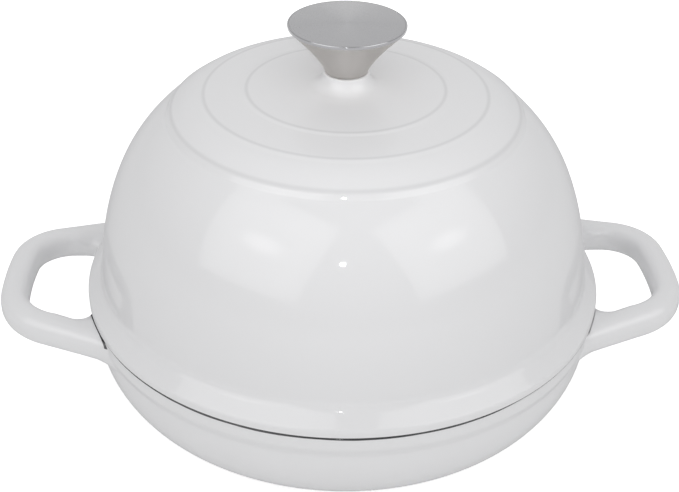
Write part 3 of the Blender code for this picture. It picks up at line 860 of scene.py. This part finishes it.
# The rim's dark grey is painted shade in its reflection. It stands in for the dark parts of the room that
# the polished steel mirrors.
rim_steel = make_steel("rim_steel", color=(0.30, 0.30, 0.31), roughness=0.12, lines=1500.0, anisotropy=0.0)
fixing_steel = make_steel("fixing_steel", color=(0.60, 0.60, 0.60), roughness=0.30, lines=1800.0,
                          anisotropy=0.2)
print("steels:", satin_steel.name, disc_steel.name, rim_steel.name, fixing_steel.name)

# %% [markdown]
# One casting carries several finishes. A second object for the inside would leave a gap, so each
# face picks its finish by where its middle lies and which way it points. The four small pieces of
# the knob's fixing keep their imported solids, and only get a steel.

# %% Give each face its finish
WHITE_FACE, BLACK_FACE, BARE_FACE = 0, 1, 2
STEM_FACE, POLISHED_FACE, BRUSHED_FACE = 0, 1, 2
RIM_ZONE = 0.0045
SLACK = 0.0001
SEAT_BLACK = 0.3
BORE_ZONE = 0.0010
FLAT_TOP = 0.8


def finish_faces(piece, finishes, choose):
    """Gives a piece its materials and picks one for each face by the face's middle and normal."""
    piece.data.materials.clear()
    for finish in finishes:
        piece.data.materials.append(finish)
    for face in piece.data.polygons:
        face.material_index = choose(face.center, face.normal)


def pan_finish(middle, normal):
    """Black inside and on the rim's flat top, white outside, and between them the rim's band with its ground
    coat and painted seam shadow.
    """
    reach = math.hypot(middle.x, middle.y)
    corner_r, corner_z = PAN_WALL_RADIUS - PAN_CORNER, FOOT_STEP + PAN_CORNER
    if middle.z > corner_z:
        inside = reach < PAN_WALL_RADIUS - PAN_WALL / 2
    elif reach > corner_r:
        inside = math.hypot(reach - corner_r, middle.z - corner_z) < PAN_CORNER - PAN_WALL / 2
    else:
        inside = middle.z > PAN_WALL / 2
    if inside or (middle.z > PAN_TOP - SLACK and reach < BAND_RADIUS - RIM_ROUNDING + SLACK):
        return BLACK_FACE
    near_lid = middle.z > PAN_TOP - RIM_ZONE and reach < RIM_RADIUS + RIM_ZONE
    return BARE_FACE if near_lid else WHITE_FACE


def lid_finish(middle, normal):
    """Black inside and on the seat, white outside."""
    reach = math.hypot(middle.x, middle.y)
    low = middle.z < SEAT + SEAT_ROUNDING * SEAT_BLACK
    inside = middle.z < dome_height(min(reach, DOME_FOOT), LID_WALL / 2) and normal.z < 0.0
    in_bore = reach < BORE_RADIUS + BORE_ZONE
    return BLACK_FACE if low or inside or in_bore else WHITE_FACE


def knob_finish(middle, normal):
    """Brushed on top, polished round the rim, satin below."""
    if middle.z <= knob_high.z - KNOB_RIM:
        return STEM_FACE
    on_top = normal.z > FLAT_TOP and middle.z > disc_low.z
    return BRUSHED_FACE if on_top else POLISHED_FACE


finish_faces(pan, (white_enamel, black_enamel, rim_enamel), pan_finish)
finish_faces(lid, (lid_enamel, black_enamel), lid_finish)
finish_faces(knob, (satin_steel, rim_steel, disc_steel), knob_finish)
finish_faces(disc, (disc_steel,), lambda middle, normal: 0)
for name in ("knob_insert", "knob_screw", "flat_washer", "spring_washer"):
    nodes[name].data.materials.clear()
    nodes[name].data.materials.append(fixing_steel)
print("finishes on the pan:", len(pan.data.materials))

# %% [markdown]
# The pan stays and the lid lifts, with all that is screwed to it. So each new piece is listed with the
# body it rides on, the solid it stands for and one of the record's finishes. It is tied to its body and
# its solid is hidden; the finish is not used.

# %% Tie each piece to its body
RIDES = (
    (pan, "base", "base_pan", "enamel"),
    (lid, "lid", "dome_lid", "enamel"),
    (knob, "lid", "knob_body", "knob_steel"),
    (disc, "lid", "knob_top", "brushed_steel"),
)
for piece, body, node, slot in RIDES:
    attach(piece, body)
    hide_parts(node)
    print(f"{piece.name} rides on {body}")

# %% [markdown]
# The photograph was taken on white paper, which runs up behind the pot with no edge. Here it is a
# large white disc under a white sky. What the camera and the steel see of both is plain white. The
# light that falls on the pot from them is weaker, or the white enamel would burn out.

# %% Floor and sky
FLOOR_RADIUS = 4.0
FLOOR_WHITE = 0.85
FLOOR_GLOW = 0.62
AMBIENT = 0.62
bpy.ops.mesh.primitive_circle_add(vertices=64, radius=FLOOR_RADIUS, fill_type="NGON", location=(0, 0, 0))
floor = bpy.context.object
floor.name = floor.data.name = "floor"


def seen_directly(tree):
    """1 for rays from the camera or off metal and glass, 0 for the light that falls on things."""
    path = add_node(tree, "ShaderNodeLightPath").outputs
    seen = add_math(tree, "MAXIMUM", path["Is Camera Ray"], path["Is Glossy Ray"])
    return add_math(tree, "MAXIMUM", seen, path["Is Transmission Ray"])


paper_color = (FLOOR_WHITE, FLOOR_WHITE, FLOOR_WHITE)
paper, paper_tree, paper_shader = new_material("white_paper", paper_color, roughness=0.9, metallic=0.0)
paper_shader.inputs["Specular IOR Level"].default_value = 0.0
paper_shader.inputs["Emission Color"].default_value = (1, 1, 1, 1)
paper_glow = add_math(paper_tree, "MULTIPLY", seen_directly(paper_tree), FLOOR_GLOW)
paper_tree.links.new(paper_glow, paper_shader.inputs["Emission Strength"])
floor.data.materials.append(paper)

world = bpy.data.worlds.new("studio")
bpy.context.scene.world = world
world.use_nodes = True
sky = world.node_tree
sky.nodes["Background"].inputs[0].default_value = (1, 1, 1, 1)
sky_level = add_range(sky, seen_directly(sky), (0.0, 1.0), (AMBIENT, 1.0))
sky.links.new(sky_level, sky.nodes["Background"].inputs[1])
print(f"floor {FLOOR_RADIUS:.0f} m in radius, ambient light {AMBIENT}")

# %% [markdown]
# Every lamp has a bearing round the pot and points at it. Each is told which light it gives: diffuse
# light falls on a surface and shows its colour, glossy light is only its mirror image. One lamp for
# both tasks is hard to balance on white gloss.

# %% Helpers for lamps
AIM = Vector((0.0, 0.0, 0.08))
LAMP_DISTANCE = 1.3


def place_at(azimuth, elevation):
    """The lamp's place at a bearing from the object: 0 is in front, positive to the right."""
    level = LAMP_DISTANCE * cos(elevation)
    return AIM + Vector((level * sin(azimuth), -level * cos(azimuth), LAMP_DISTANCE * sin(elevation)))


def add_lamp(name, kind, place, power, shows, aim=AIM):
    """A lamp turned to a point; shows is diffuse or glossy, the kind of light it gives."""
    data = bpy.data.lights.new(name, kind)
    data.energy = power
    lamp = bpy.data.objects.new(name, data)
    lamp.location = place
    lamp.rotation_euler = (aim - lamp.location).to_track_quat("-Z", "Y").to_euler()
    lamp.visible_diffuse = shows == "diffuse"
    lamp.visible_glossy = shows == "glossy"
    bpy.context.scene.collection.objects.link(lamp)
    return lamp


# %% [markdown]
# Four large keys give the light: two weak ones at the sides, a strong one in front and one behind.
# A sky alone would light the pot evenly from all round, and its form would be hard to see.

# %% Keys
KEY_SIZE = 1.4


def add_key(name, bearing, glow):
    """A large soft lamp that lights the surfaces but isn't mirrored in them."""
    power = glow * math.pi * KEY_SIZE ** 2
    lamp = add_lamp(name, "AREA", place_at(*bearing), power, "diffuse")
    lamp.data.shape, lamp.data.size = "SQUARE", KEY_SIZE


add_key("key_left", bearing=(-50, 35), glow=0.12)
add_key("key_right", bearing=(53, 35), glow=0.10)
add_key("key_front", bearing=(0, 42), glow=0.90)
add_key("key_back", bearing=(180, 45), glow=0.3)

# %% [markdown]
# Two soft boxes stand in front, left and right, and their images are the two pale patches on the
# dome. They are only mirrored. Their edges fade and their middles are brighter, as cloth in front of
# a bulb is, and both come from nodes on the lamp, because an even square would look cut out.

# %% Soft boxes
BOX_ROUNDING = 0.1
BOX_FADE = (0.3, 0.5)
CORE_FADE = (0.05, 0.26)
CORE_FLATNESS = 2.0


def add_softbox(name, bearing, size, glow, core):
    """The mirror image of a soft box: fading edges and a brighter middle."""
    power = math.pi * size ** 2
    lamp = add_lamp(name, "AREA", place_at(*bearing), power, "glossy")
    lamp.data.shape, lamp.data.size = "SQUARE", size
    lamp.data.use_nodes = True
    tree = lamp.data.node_tree
    spot = add_node(tree, "ShaderNodeNewGeometry").outputs["Parametric"]
    shift = add_node(tree, "ShaderNodeVectorMath", [(spot, 0)], operation="SUBTRACT")
    shift.inputs[1].default_value = (0.5, 0.5, 0.0)
    off_middle = add_node(tree, "ShaderNodeVectorMath", [(shift.outputs[0], 0)], operation="ABSOLUTE")
    parts = add_node(tree, "ShaderNodeSeparateXYZ", [(off_middle.outputs[0], 0)])
    edge = add_math(tree, "SMOOTH_MAX", parts.outputs[0], parts.outputs[1], BOX_ROUNDING)
    cloth = add_range(tree, edge, BOX_FADE, (glow, 1.0), "SMOOTHSTEP")
    flatter = add_node(tree, "ShaderNodeVectorMath", [(shift.outputs[0], 0)], operation="MULTIPLY")
    flatter.inputs[1].default_value = (1.0, CORE_FLATNESS, 0.0)
    reach = add_node(tree, "ShaderNodeVectorMath", [(flatter.outputs[0], 0)], operation="LENGTH")
    bulb = add_range(tree, reach.outputs["Value"], CORE_FADE, (core, 0.0), "SMOOTHSTEP")
    tree.links.new(add_math(tree, "ADD", cloth, bulb), tree.nodes["Emission"].inputs["Strength"])


add_softbox("left_box", bearing=(-46, 35), size=1.25, glow=1.4, core=1.7)
add_softbox("right_box", bearing=(53, 33), size=1.2, glow=1.4, core=1.8)

# %% [markdown]
# The crown is nearly flat and half turned away from the front key, so a narrow spot fills it a
# little. Brighter keys would lift the crown too, but would burn out the dome's sides.

# %% Fill for the crown
CROWN = Vector((0.0, 0.0, 0.167))
FILL_POWER = 24.0
FILL_CONE = math.radians(7)
FILL_SOFTNESS = 0.08
crown_fill = add_lamp("crown_fill", "SPOT", place_at(0, 28), FILL_POWER, "diffuse", CROWN)
crown_fill.data.spot_size, crown_fill.data.spot_blend = FILL_CONE, 1.0
crown_fill.data.shadow_soft_size = FILL_SOFTNESS
print("lamps:", len(bpy.data.lights))

# %% [markdown]
# The camera looks down on the pot from about sixty centimetres away. Its place, tilt and focal
# length were fitted to the round edges in the photograph, in units of the lid's radius. The pot
# stands turned by a few degrees, so the camera goes round it instead of the pot being turned.

# %% Camera
UNIT = RIM_RADIUS
CAMERA_BACK = 4.111 * UNIT
CAMERA_UP = 2.7573 * UNIT
PITCH, YAW, ROLL = math.radians(32.632), math.radians(-0.200), math.radians(-0.962)
TURN = 0.0557
FOCAL_PIXELS, PHOTO_WIDTH = 1235.0, 679
SENSOR_WIDTH = 36.0


def turn_to_handles(v):
    """Turns a direction round the upright axis, into the frame of the handles."""
    x = v.x * math.cos(TURN) + v.y * math.sin(TURN)
    y = v.y * math.cos(TURN) - v.x * math.sin(TURN)
    return Vector((x, y, v.z))


def view_axes():
    """The camera's right, down and forward directions, in the frame of the handles."""
    level = math.cos(PITCH)
    forward = Vector((math.sin(YAW) * level, math.cos(YAW) * level, -math.sin(PITCH)))
    right = Vector((math.cos(YAW), -math.sin(YAW), 0.0))
    down = forward.cross(right)
    across = math.cos(ROLL) * right + math.sin(ROLL) * down
    below = math.cos(ROLL) * down - math.sin(ROLL) * right
    return [turn_to_handles(v) for v in (across, below, forward)]


across, below, forward = view_axes()
lens_place = Vector((-CAMERA_BACK * math.sin(TURN), -CAMERA_BACK * math.cos(TURN), SEAT + CAMERA_UP))
camera_data = bpy.data.cameras.new("camera")
camera_data.sensor_width = SENSOR_WIDTH
camera_data.lens = SENSOR_WIDTH * FOCAL_PIXELS / PHOTO_WIDTH
camera = bpy.data.objects.new("camera", camera_data)
turned = Matrix((across, -below, -forward)).transposed().to_4x4()
camera.matrix_world = Matrix.Translation(lens_place) @ turned
bpy.context.scene.collection.objects.link(camera)
bpy.context.scene.camera = camera
bpy.context.scene.view_settings.view_transform = "Standard"
print(f"camera {lens_place.length:.2f} m away, lens {camera_data.lens:.1f} mm")

# %% [markdown]
# A small lamp beside the lens gives the few sharp white glints of a flash: on the dome, on the
# flange, on the outer ring and on the knob's rim.

# %% Spark lamp beside the lens
SPARK_POWER = 0.4
SPARK_RADIUS = 0.012
spark = add_lamp("spark", "POINT", lens_place, SPARK_POWER, "glossy")
spark.data.shadow_soft_size = SPARK_RADIUS
